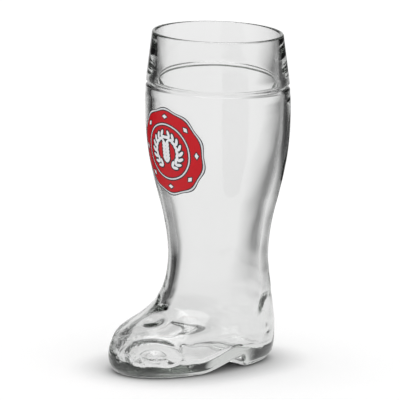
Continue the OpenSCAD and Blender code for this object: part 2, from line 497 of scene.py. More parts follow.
@dataclass(frozen=True)
class FiredInk:
    """Ceramic ink, screen printed and fired onto the glass.

    Dense colour with a low gloss, a faint mottle where the glaze pooled and a grain of the
    mesh's pitch, drawn at 0.6 mm, coarser than the real screen's, so that it shows.
    """

    name: str
    colour: str
    roughness: float = 0.38
    ior: float = 1.5
    shine: float = 0.3
    mottle: float = 0.06
    pool_mm: float = 3.85
    grain_mm: float = 0.6
    grain_strength: float = 0.08
    grain_depth: float = 0.0001

    def build(self) -> bpy.types.Material:
        """Build the ink material.

        Returns:
            An opaque glazed material.
        """
        mat = bpy.data.materials.new(self.name)
        mat.use_nodes = True
        tree = mat.node_tree
        tree.nodes.clear()
        place = add_node(tree, "ShaderNodeTexCoord")
        pool = add_node(
            tree,
            "ShaderNodeTexNoise",
            None,
            {"Vector": place.outputs["Object"], "Scale": 1000.0 / self.pool_mm, "Detail": 2.0},
        )
        base = linear_colour(self.colour)
        low = tuple(c * (1 - self.mottle) for c in base[:3]) + (1.0,)
        high = tuple(min(1.0, c * (1 + self.mottle)) for c in base[:3]) + (1.0,)
        tone = add_node(
            tree,
            "ShaderNodeMix",
            {"data_type": "RGBA"},
            {0: pool.outputs["Fac"], 6: low, 7: high},
        )
        grain = add_node(
            tree,
            "ShaderNodeTexNoise",
            None,
            {"Vector": place.outputs["Object"], "Scale": 1000.0 / self.grain_mm, "Detail": 1.0},
        )
        relief = add_node(
            tree,
            "ShaderNodeBump",
            None,
            {
                "Height": grain.outputs["Fac"],
                "Strength": self.grain_strength,
                "Distance": self.grain_depth,
            },
        )
        shader = add_node(
            tree,
            "ShaderNodeBsdfPrincipled",
            None,
            {
                "Base Color": tone.outputs[2],
                "Roughness": self.roughness,
                "IOR": self.ior,
                "Specular IOR Level": self.shine,
                "Normal": relief.outputs["Normal"],
            },
        )
        add_node(tree, "ShaderNodeOutputMaterial", None, {"Surface": shader.outputs["BSDF"]})
        return mat


# The glass


@dataclass
class GlassVessel:
    """The boot itself: one closed skin of glass, outside and hollow.

    A wave is a direction, a length and a phase. A pool, where the glass gathered on the
    hollow's skin, is a centre, a width, a height, a number of ripples and a rise. Lengths are
    millimetres.
    """

    form: BootForm
    finish: SodaLimeGlass
    ring_points: int = 160
    rows_per_station: int = 8
    groove_rows: int = 20
    collar_rows: int = 24
    lip_rows: int = 12
    bore_rows: int = 32
    throat_rows: int = 40
    edge_rows: int = 10
    crosswise: tuple[float, ...] = (0.97, 0.90, 0.8, 0.68, 0.56, 0.44, 0.32, 0.2, 0.1)
    wave_shaft: float = 0.05
    wave_foot: float = 0.4
    wave_fade_share: float = 0.45
    lip_calm: float = 30.0
    waves: tuple[tuple[Point, float, float], ...] = (
        ((0.8, 0.6, 0.0), 31.0, 0.4),
        ((-0.5, 0.7, 0.5), 23.0, 1.9),
        ((0.2, -0.4, 0.9), 27.0, 3.1),
        ((0.1, 0.9, -0.4), 17.0, 5.0),
    )
    pools: tuple[tuple[Point, float, float, float, float], ...] = (
        ((22.0, -56.0, 14.0), 38.0, 20.0, 3.0, 1.25),
        ((-2.0, -39.0, 35.0), 32.0, 22.0, 1.0, 3.4),
    )

    def __post_init__(self) -> None:
        """Keep the curve through the form's stations."""
        self.loft = Loft(tuple(self.form.stations()))

    def hollow_section(self, t: float) -> Section:
        """Section of the hollow: the outer one moved inward along the slope of the front.

        Args:
            t: place along the stations.

        Returns:
            The moved section.
        """
        s = self.loft.at(t)
        a = self.loft.at(max(0.0, t - 0.1))
        b = self.loft.at(min(float(self.loft.last), t + 0.1))
        rise, run = b[0] - a[0], b[1] - a[1]
        slope = math.hypot(rise, run)
        wall = self.form.wall_at(s[0])
        return (
            s[0] - wall * run / slope,
            s[1] + wall * rise / slope,
            s[2] - wall,
            s[3] - wall,
            s[4],
            s[5],
            s[6],
        )

    def floor_section(self, angle: float) -> Section:
        """Section of the rounded edge between the hollow's side and its floor.

        Args:
            angle: how far round the edge, from nothing at the side to a quarter turn.

        Returns:
            The section.
        """
        z, front, back, half, *rest = self.hollow_section(self.form.hollow_start)
        radius = z - self.form.sole_t
        inset = radius * (1 - math.cos(angle))
        drop = radius * math.sin(angle)
        return (z - drop, front + inset, back - inset, half - inset, *rest)

    def ring(self, s: Section, hollow: bool) -> list[Point]:
        """Points around one section.

        Args:
            s: the section.
            hollow: whether it belongs to the hollow, whose floor follows the arch.

        Returns:
            The ring, starting at the toe.
        """
        form = self.form
        ring = []
        for i in range(self.ring_points):
            a = 2 * math.pi * i / self.ring_points
            c, w = math.cos(a), math.sin(a)
            if c > 0:
                y = s[4] - (s[4] - s[1]) * signed_power(c, s[5])
            else:
                y = s[4] - (s[2] - s[4]) * signed_power(c, s[6])
            if hollow:
                lift = form.floor_rise(y) * form.arch_fade(s[0] - form.sole_t)
            else:
                lift = form.arch_rise(y) * form.arch_fade(s[0])
            x = s[3] * signed_power(w, s[5] if c > 0 else s[6])
            ring.append((x, y + form.centre_y, s[0] + lift))
        return ring

    def outside(self) -> list[Section]:
        """Sections of the outside from the table up and over the lip.

        Returns:
            The sections in order.
        """
        form, n = self.form, self.rows_per_station
        rows = [self.loft.at(i / n) for i in range(n * self.loft.last + 1)]
        for i in range(self.groove_rows + 1):
            z = form.shaft_top_z + form.groove_w * i / self.groove_rows
            rows.append(form.round_section(z, form.groove_radius(z)))
        lip_r = form.lip_t / 2
        low, high = form.shaft_top_z + form.groove_w, form.height - lip_r
        for i in range(1, self.collar_rows):
            share = i / self.collar_rows
            rows.append(
                form.round_section(mix(low, high, share), mix(form.collar_r, form.mouth_r, share))
            )
        for i in range(self.lip_rows + 1):
            a = math.pi * i / self.lip_rows
            rows.append(
                form.round_section(
                    high + lip_r * math.sin(a), form.mouth_r - lip_r + lip_r * math.cos(a)
                )
            )
        return rows

    def inside(self) -> list[Section]:
        """Sections of the hollow from the lip down to the floor.

        Returns:
            The sections in order.
        """
        form, n = self.form, self.rows_per_station
        bore = form.collar_r - form.collar_t
        throat = form.groove_z + form.shoulder_h
        lip_r = form.lip_t / 2
        rows = []
        for i in range(1, self.bore_rows):
            share = i / self.bore_rows
            r = mix(form.mouth_r - form.lip_t, bore, 1 - (1 - share) ** 2)
            rows.append(form.round_section(mix(form.height - lip_r, throat, share), r))
        for i in range(self.throat_rows):
            share = i / self.throat_rows
            r = mix(bore, form.shaft_r - form.shaft_t, ease(share / form.throat_end_share))
            rows.append(form.round_section(mix(throat, form.widest_z, share), r))
        last = n * self.loft.last
        start = int(n * form.hollow_start)
        rows += [self.hollow_section(i / n) for i in range(last, start - 1, -1)]
        for i in range(1, self.edge_rows + 1):
            rows.append(self.floor_section(math.pi / 2 * i / self.edge_rows))
        return rows

    def close(self, points: list[Point], faces: list[list[int]], first: int) -> None:
        """Close a ring with crosswise strips, so that a flat face stays flat when shaded.

        Args:
            points: every point so far, which grows by the strips' inner points.
            faces: every face so far, which grows by the strips.
            first: number of the ring's first point.
        """
        half = self.ring_points // 2
        shares = list(self.crosswise) + [0.0] + [-s for s in reversed(self.crosswise)]
        lines = []
        for i in range(1, half):
            x, y, z = points[first + i]
            inner = []
            for s in shares:
                inner.append(len(points))
                points.append((x * s, y, z))
            lines.append([first + i] + inner + [first + self.ring_points - i])
        for a, b in zip(lines, lines[1:]):
            for k in range(len(a) - 1):
                faces.append([a[k], b[k], b[k + 1], a[k + 1]])
        for tip, line in ((first, lines[0]), (first + half, lines[-1])):
            for k in range(len(line) - 1):
                faces.append([tip, line[k], line[k + 1]])

    def build(self) -> bpy.types.Object:
        """Build the vessel and dress it.

        Returns:
            The glass as one closed smooth mesh.
        """
        points: list[Point] = []
        faces: list[list[int]] = []
        sections = [(s, False) for s in self.outside()] + [(s, True) for s in self.inside()]
        n = self.ring_points
        for s, hollow in sections:
            points += self.ring(s, hollow)
        for k in range(len(sections) - 1):
            for i in range(n):
                j = (i + 1) % n
                faces.append([k * n + i, k * n + n + i, k * n + n + j, k * n + j])
        rings_end = len(points)
        self.close(points, faces, 0)
        sole_end = len(points)
        self.close(points, faces, (len(sections) - 1) * n)
        obj = mesh_object("boot_vessel", points, faces)
        hollow = [*range(len(self.outside()) * n, rings_end), *range(sole_end, len(points))]
        self.settle(obj.data, hollow)
        obj.data.shade_smooth()
        obj.data.materials.append(self.finish.build())
        return obj

    def settle(self, mesh: bpy.types.Mesh, hollow: Sequence[int]) -> None:
        """Let the hollow's skin settle unevenly, as glass does where no mould touches it.

        Args:
            mesh: the vessel's mesh.
            hollow: numbers of the points of the hollow, which move along their normals.
        """
        verts = [mesh.vertices[i] for i in hollow]
        moved = [v.co + v.normal * (self.unevenness(v.co / MM) * MM) for v in verts]
        for vert, place in zip(verts, moved):
            vert.co = place

    def unevenness(self, p: Vector) -> float:
        """Rise of the hollow's skin at a place.

        Args:
            p: the place in millimetres.

        Returns:
            The rise in millimetres, out of the glass where it is positive.
        """
        form = self.form
        start = self.wave_fade_share * form.ankle_h
        low = 1 - ease((p.z - start) / (form.ankle_h - start))
        top = ease((form.height - p.z) / self.lip_calm)
        depth = mix(self.wave_shaft, self.wave_foot, low) * top
        total = 0.0
        for direction, length, phase in self.waves:
            along = p.x * direction[0] + p.y * direction[1] + p.z * direction[2]
            total += math.sin(2 * math.pi * along / length + phase)
        rise = depth * total / len(self.waves)
        for centre, wide, tall, rings, size in self.pools:
            flat = math.hypot(p.x - centre[0], p.y - centre[1]) / wide
            far = math.hypot(flat, (p.z - centre[2]) / tall)
            if far < 1:
                rise += size * math.cos(2 * math.pi * rings * far) * (1 - far * far) ** 2
        return rise


# Repeated print marks


def open_tree(
    name: str, sockets: Sequence[tuple[str, str]]
) -> tuple[bpy.types.NodeTree, bpy.types.bpy_prop_collection]:
    """Start a tree of print marks with its named inputs.

    Args:
        name: the tree's name.
        sockets: name and kind of the inputs that this tree has beyond the marks' own.

    Returns:
        The tree and its inputs by name.
    """
    shared = (
        ("Half Length", "NodeSocketFloat"),
        ("Half Width", "NodeSocketFloat"),
        ("Grow", "NodeSocketFloat"),
        ("Thickness", "NodeSocketFloat"),
        ("Ink", "NodeSocketMaterial"),
    )
    tree = bpy.data.node_groups.new(name, "GeometryNodeTree")
    tree.interface.new_socket("Geometry", in_out="INPUT", socket_type="NodeSocketGeometry")
    for label, kind in (*sockets, *shared):
        tree.interface.new_socket(label, in_out="INPUT", socket_type=kind)
    tree.interface.new_socket("Geometry", in_out="OUTPUT", socket_type="NodeSocketGeometry")
    return tree, add_node(tree, "NodeGroupInput").outputs


def add_mark(
    tree: bpy.types.NodeTree,
    give: bpy.types.bpy_prop_collection,
    sides: int,
    rings: int,
    centre: bpy.types.NodeSocket | Point,
) -> bpy.types.NodeSocket:
    """Add one flat mark, a stretched disc of ink of even thickness.

    Args:
        tree: the tree that takes the nodes.
        give: the tree's inputs by name.
        sides: number of the disc's sides.
        rings: number of rings of faces in it, so that it can bend.
        centre: the mark's centre.

    Returns:
        The mark's geometry.
    """
    disc = add_node(
        tree,
        "GeometryNodeMeshCylinder",
        {"fill_type": "TRIANGLE_FAN"},
        {"Vertices": sides, "Fill Segments": rings, "Radius": 1.0, "Depth": give["Thickness"]},
    )
    wide, long = (
        add_node(
            tree, "ShaderNodeMath", {"operation": "ADD"}, {0: give[half], 1: give["Grow"]}
        ).outputs[0]
        for half in ("Half Width", "Half Length")
    )
    size = add_node(tree, "ShaderNodeCombineXYZ", None, {"X": wide, "Y": long, "Z": 1.0})
    mark = add_node(
        tree,
        "GeometryNodeTransform",
        None,
        {
            "Geometry": disc.outputs["Mesh"],
            "Scale": size.outputs["Vector"],
            "Translation": centre,
        },
    )
    return mark.outputs["Geometry"]


def set_along(
    tree: bpy.types.NodeTree,
    give: bpy.types.bpy_prop_collection,
    count: bpy.types.NodeSocket,
    mark: bpy.types.NodeSocket,
) -> None:
    """Set marks at even steps along the tree's path, make them real and ink them.

    Args:
        tree: the tree that takes the nodes.
        give: the tree's inputs by name.
        count: the number of steps.
        mark: the geometry that is repeated.
    """
    path = add_node(
        tree, "GeometryNodeResampleCurve", None, {"Curve": give["Geometry"], "Count": count}
    )
    tangent = add_node(tree, "GeometryNodeInputTangent")
    along = add_node(
        tree,
        "FunctionNodeAlignRotationToVector",
        {"axis": "Y", "pivot_axis": "Z"},
        {"Vector": tangent.outputs["Tangent"]},
    )
    marks = add_node(
        tree,
        "GeometryNodeInstanceOnPoints",
        None,
        {
            "Points": path.outputs["Curve"],
            "Instance": mark,
            "Rotation": along.outputs["Rotation"],
        },
    )
    real = add_node(
        tree, "GeometryNodeRealizeInstances", None, {"Geometry": marks.outputs["Instances"]}
    )
    inked = add_node(
        tree,
        "GeometryNodeSetMaterial",
        None,
        {"Geometry": real.outputs["Geometry"], "Material": give["Ink"]},
    )
    add_node(tree, "NodeGroupOutput", None, {"Geometry": inked.outputs["Geometry"]})


def grain_tree() -> bpy.types.NodeTree:
    """Make the tree that grows pairs of barley grains along a path.

    Returns:
        The tree: a curve in, printed grains of even thickness out.
    """
    tree, give = open_tree(
        "print_grains",
        (
            ("Pairs", "NodeSocketInt"),
            ("Root Gap", "NodeSocketFloat"),
            ("Lean", "NodeSocketFloat"),
        ),
    )
    reach = add_node(
        tree, "ShaderNodeMath", {"operation": "ADD"}, {0: give["Half Length"], 1: give["Root Gap"]}
    )
    centre = add_node(tree, "ShaderNodeCombineXYZ", None, {"Y": reach.outputs[0]})
    grain = add_mark(tree, give, 16, 2, centre.outputs["Vector"])
    pair = add_node(tree, "GeometryNodeJoinGeometry")
    for side in (-1.0, 1.0):
        lean = add_node(
            tree, "ShaderNodeMath", {"operation": "MULTIPLY"}, {0: give["Lean"], 1: side}
        )
        turn = add_node(tree, "ShaderNodeCombineXYZ", None, {"Z": lean.outputs[0]})
        leaning = add_node(
            tree,
            "GeometryNodeTransform",
            None,
            {"Geometry": grain, "Rotation": turn.outputs["Vector"]},
        )
        tree.links.new(leaning.outputs["Geometry"], pair.inputs["Geometry"])
    set_along(tree, give, give["Pairs"], pair.outputs["Geometry"])
    return tree


def lozenge_tree() -> bpy.types.NodeTree:
    """Make the tree that sets lozenges at even steps along a closed path.

    Returns:
        The tree: a curve in, printed lozenges out.
    """
    tree, give = open_tree("print_lozenges", (("Marks", "NodeSocketInt"),))
    lozenge = add_mark(tree, give, 4, 3, (0.0, 0.0, 0.0))
    set_along(tree, give, give["Marks"], lozenge)
    return tree


def grow_marks(
    tree: bpy.types.NodeTree,
    path: Sequence[Flat],
    closed: bool,
    values: dict[str, object],
) -> bpy.types.Mesh:
    """Run a tree of print marks along a flat path.

    Args:
        tree: the tree.
        path: the path's points in millimetres.
        closed: whether the path joins its ends.
        values: the tree's inputs by name.

    Returns:
        The marks as a mesh, flat and in millimetres.
    """
    curve = bpy.data.curves.new("print_path", "CURVE")
    curve.dimensions = "3D"
    spline = curve.splines.new("POLY")
    spline.points.add(len(path) - 1)
    for point, (x, y) in zip(spline.points, path):
        point.co = (x, y, 0.0, 1.0)
    spline.use_cyclic_u = closed
    holder = bpy.data.objects.new("print_path", curve)
    bpy.context.scene.collection.objects.link(holder)
    modifier = holder.modifiers.new("marks", "NODES")
    modifier.node_group = tree
    for item in tree.interface.items_tree:
        if item.item_type == "SOCKET" and item.in_out == "INPUT" and item.name in values:
            modifier[item.identifier] = values[item.name]
    graph = bpy.context.evaluated_depsgraph_get()
    graph.update()
    mesh = bpy.data.meshes.new_from_object(holder.evaluated_get(graph))
    holder.modifiers.clear()
    bpy.data.objects.remove(holder)
    bpy.data.curves.remove(curve)
    return mesh


# The badge


@dataclass
class Badge:
    """The round badge on the shaft's front, printed in four ink layers.

    Flat places are millimetres right and up from the badge's centre, laid on the curved glass.
    """

    form: BootForm
    loft: Loft
    radius: float = 32.5
    centre_h: float = 158.0
    lobes: int = 10
    lobe_share: float = 0.022
    lobe_power: int = 6
    hub_share: float = 0.06
    field_share: float = 0.94
    gap_outer_share: float = 0.655
    gap_inner_share: float = 0.6
    key_share: float = 0.022
    ear_arc_share: float = 0.36
    ear_start: float = 22.0
    ear_end: float = 158.0
    ear_pairs: int = 8
    middle_share: float = 0.24
    middle_top_share: float = 0.6
    middle_pairs: int = 6
    path_steps: int = 24
    border_share: float = 0.79
    border_marks: int = 8
    grain_half: Flat = (2.7, 1.15)
    grain_gap: float = 0.06
    grain_lean: float = 34.0
    lozenge_half: Flat = (2.4, 1.5)
    outline: float = 1.0
    points: int = 160
    layer_t: float = 0.035
    layer_gap: float = 0.03
    profile: list[tuple[float, float]] = field(init=False)
    grains: bpy.types.NodeTree = field(init=False)
    lozenges: bpy.types.NodeTree = field(init=False)

    def __post_init__(self) -> None:
        """Tabulate the shaft's radius by height and make the trees of the marks."""
        self.grains = grain_tree()
        self.lozenges = lozenge_tree()
        first = len(self.form.foot_shares) - 1
        rows_each = 12
        steps = (self.loft.last - first) * rows_each
        rows = [self.loft.at(first + i / rows_each) for i in range(steps + 1)]
        self.profile = [(s[0], s[3]) for s in rows]

    def shaft_radius(self, z: float) -> float:
        """Outer radius of the shaft at a height.

        Args:
            z: the height in millimetres.

        Returns:
            The radius in millimetres.
        """
        table = self.profile
        if z >= table[-1][0]:
            return table[-1][1]
        for (za, ra), (zb, rb) in zip(table, table[1:]):
            if za <= z <= zb:
                return mix(ra, rb, (z - za) / (zb - za))
        return table[0][1]

    def on_shaft(self, p: Flat, lift: float) -> Point:
        """Lay a flat place on the shaft's front.

        Args:
            p: millimetres right and up from the badge's centre.
            lift: millimetres off the glass.

        Returns:
            The place in the frame, in millimetres.
        """
        z = self.centre_h + p[1]
        r = self.shaft_radius(z)
        turn = p[0] / r
        y = self.form.axis_y(z) + self.form.centre_y
        return ((r + lift) * math.sin(turn), y - (r + lift) * math.cos(turn), z)

    def layer_lift(self, layer: int) -> float:
        """Height of a layer's underside above the glass."""
        return self.layer_gap + layer * (self.layer_t + self.layer_gap)

    def band(self, inner: float, outer: float, steps: int) -> list[list[Flat]]:
        """Rings of flat points between two shares of the radius, lobed toward the rim.

        Args:
            inner: the first ring's share.
            outer: the last ring's share.
            steps: the number of steps between them.

        Returns:
            The rings.
        """
        rows = []
        for k in range(steps + 1):
            share = mix(inner, outer, k / steps)
            row = []
            for i in range(self.points):
                a = 2 * math.pi * i / self.points
                wave = math.cos(a * self.lobes) - 1
                lobe = 1 + self.lobe_share * share**self.lobe_power * wave
                r = self.radius * share * lobe
                row.append((r * math.sin(a), r * math.cos(a)))
            rows.append(row)
        return rows

    def skin(
        self,
        points: list[Point],
        faces: list[list[int]],
        grid: list[list[Flat]],
        layer: int,
        hub: bool,
    ) -> None:
        """Add one closed printed area to a layer's mesh.

        Args:
            points: the layer's points, which grow.
            faces: the layer's faces, which grow.
            grid: rings of flat points.
            layer: number of the layer, from the glass outward.
            hub: whether the first ring is closed with a centre point.
        """
        rows, count = len(grid), len(grid[0])
        n, start = rows * count, len(points)
        low = self.layer_lift(layer)
        for lift in (low, low + self.layer_t):
            points += [self.on_shaft(p, lift) for row in grid for p in row]
        heart = start + 2 * n
        if hub:
            points += [self.on_shaft((0.0, 0.0), h) for h in (low, low + self.layer_t)]
        for i in range(count):
            j = (i + 1) % count
            for k in range(rows - 1):
                a, b = start + k * count + i, start + k * count + j
                faces.append([a, b, b + count, a + count])
                faces.append([a + n, a + count + n, b + count + n, b + n])
            e, f = start + n - count + i, start + n - count + j
            faces.append([e, f, f + n, e + n])
            e, f = start + i, start + j
            if hub:
                faces += [[e, heart, f], [f + n, heart + 1, e + n]]
            else:
                faces.append([e, e + n, f + n, f])

    def arc(self, share: float, start: float, end: float) -> list[Flat]:
        """Flat points on an arc about the badge's centre.

        Args:
            share: the arc's radius as a share of the badge's.
            start: where it starts, in degrees from the top.
            end: where it ends.

        Returns:
            The points.
        """
        r, steps = self.radius * share, self.path_steps
        turns = [math.radians(mix(start, end, i / steps)) for i in range(steps + 1)]
        return [(r * math.sin(a), r * math.cos(a)) for a in turns]

    def add_marks(
        self,
        points: list[Point],
        faces: list[list[int]],
        mesh: bpy.types.Mesh,
        layer: int,
    ) -> None:
        """Lay flat marks on the glass and add them to a layer.

        Args:
            points: the layer's points, which grow.
            faces: the layer's faces, which grow.
            mesh: the marks, in millimetres.
            layer: number of the layer.
        """
        start = len(points)
        low = self.layer_lift(layer) + self.layer_t / 2
        points += [self.on_shaft((v.co.x, v.co.y), low + v.co.z) for v in mesh.vertices]
        faces += [[start + i for i in f.vertices] for f in mesh.polygons]
        bpy.data.meshes.remove(mesh)

    def add_motif(
        self,
        points: list[Point],
        faces: list[list[int]],
        layer: int,
        grow: float,
        ink: bpy.types.Material,
    ) -> None:
        """Add the ears of barley and the border's lozenges to a layer.

        Args:
            points: the layer's points, which grow.
            faces: the layer's faces, which grow.
            layer: number of the layer.
            grow: millimetres by which each mark is widened.
            ink: the layer's ink.
        """
        stem = self.radius * self.middle_share
        top = stem * self.middle_top_share
        ends = [(side * self.ear_end, side * self.ear_start) for side in (1, -1)]
        ears = [(self.arc(self.ear_arc_share, *pair), self.ear_pairs) for pair in ends]
        ears.append(([(0.0, -stem), (0.0, top)], self.middle_pairs))
        for path, pairs in ears:
            self.add_marks(
                points,
                faces,
                grow_marks(
                    self.grains,
                    path,
                    False,
                    {
                        "Pairs": pairs,
                        "Half Length": self.grain_half[0],
                        "Half Width": self.grain_half[1],
                        "Root Gap": self.grain_gap,
                        "Lean": math.radians(self.grain_lean),
                        "Grow": grow,
                        "Thickness": self.layer_t,
                        "Ink": ink,
                    },
                ),
                layer,
            )
        self.add_marks(
            points,
            faces,
            grow_marks(
                self.lozenges,
                self.arc(self.border_share, 0.0, 360.0)[:-1],
                True,
                {
                    "Marks": self.border_marks,
                    "Half Length": self.lozenge_half[0],
                    "Half Width": self.lozenge_half[1],
                    "Grow": grow,
                    "Thickness": self.layer_t,
                    "Ink": ink,
                },
            ),
            layer,
        )

    def print_layer(
        self,
        ink: Ink,
        finish: FiredInk,
        bands: Sequence[tuple[float, float, int]],
        grow: float | None = None,
    ) -> bpy.types.Object:
        """Make one ink layer.

        Args:
            ink: the ink, which names the layer and gives its place in the order of printing.
            finish: the ink's finish.
            bands: inner share, outer share and steps of each round area.
            grow: millimetres by which the motif's marks are widened, or None without a motif.

        Returns:
            The layer's object.
        """
        points: list[Point] = []
        faces: list[list[int]] = []
        layer = list(Ink).index(ink)
        material = finish.build()
        for inner, outer, steps in bands:
            rings = self.band(inner, outer, steps)
            self.skin(points, faces, rings, layer, inner == self.hub_share)
        if grow is not None:
            self.add_motif(points, faces, layer, grow, material)
        obj = mesh_object(ink.value.replace("badge", "print"), points, faces)
        obj.data.materials.append(material)
        return obj

    def build(self) -> dict[Ink, bpy.types.Object]:
        """Build the four layers: ground, red fields, dark lines and edges, silver motif.

        Returns:
            Each ink's piece.
        """
        hub, field_edge = self.hub_share, self.field_share
        red = ((self.gap_outer_share, field_edge, 5), (hub, self.gap_inner_share, 9))
        edges = (self.gap_inner_share, self.gap_outer_share, field_edge, 1.0)
        lines = [(edge - self.key_share, edge, 2) for edge in edges]
        grey = FiredInk("fired_grey_ink", "DCDEE0", 0.42)
        scarlet = FiredInk("fired_red_ink", "C00014", 0.30)
        black = FiredInk("fired_dark_ink", "2B2C30", 0.40)
        silver = FiredInk("fired_silver_ink", "E4E6E8", 0.36)
        return {
            Ink.GROUND: self.print_layer(Ink.GROUND, grey, ((hub, 1.0, 14),)),
            Ink.RED: self.print_layer(Ink.RED, scarlet, red),
            Ink.DARK: self.print_layer(Ink.DARK, black, lines, self.outline),
            Ink.SILVER: self.print_layer(Ink.SILVER, silver, (), 0.0),
        }


# Table, light and camera


@dataclass(frozen=True)
class Surround:
    """Tones that the glass mirrors and bends, by direction, as linear values.

    Level directions are degrees to the right of the line from the camera through the boot, and
    heights are degrees over the table. A dark card on either side draws the glass's edges, the
    walls fade into a dim ceiling, and a soft box hangs in it.
    """

    level: tuple[tuple[float, float], ...] = (
        (-180, 0.92), (-115, 0.87), (-85, 0.56), (-60, 0.04), (-28, 0.04), (-22, 0.36),
        (-16, 0.86), (7, 0.86), (12, 0.54), (17, 0.16), (26, 0.04), (44, 0.04),
        (56, 0.66), (85, 0.87), (115, 0.92), (180, 0.92),
    )
    height: tuple[tuple[float, float], ...] = (
        (-90, 0.55), (25, 0.90), (33, 0.04), (60, 0.04), (66, 0.90), (90, 0.95),
    )
    wall_fade: tuple[float, float] = (18.0, 34.0)
    box_edge: tuple[float, float] = (58.0, 68.0)
    box_gain: float = 3.5


def tone_ramp(
    tree: bpy.types.NodeTree,
    factor: bpy.types.NodeSocket,
    stops: Sequence[tuple[float, float]],
    low: float,
    high: float,
) -> bpy.types.NodeSocket:
    """Add a ramp of grey tones over a range of values.

    Args:
        tree: the tree that takes the nodes.
        factor: the value that picks the tone.
        stops: values and their tones, in rising order.
        low: the value at the ramp's start.
        high: the value at the ramp's end.

    Returns:
        The tone's output.
    """
    place = add_node(
        tree, "ShaderNodeMapRange", None, {"Value": factor, "From Min": low, "From Max": high}
    )
    node = add_node(tree, "ShaderNodeValToRGB", None, {"Fac": place.outputs["Result"]})
    elements = node.color_ramp.elements
    while len(elements) < len(stops):
        elements.new(0.5)
    for element, (value, tone) in zip(elements, stops):
        element.position = (value - low) / (high - low)
        element.color = (tone, tone, tone, 1.0)
    return node.outputs["Color"]


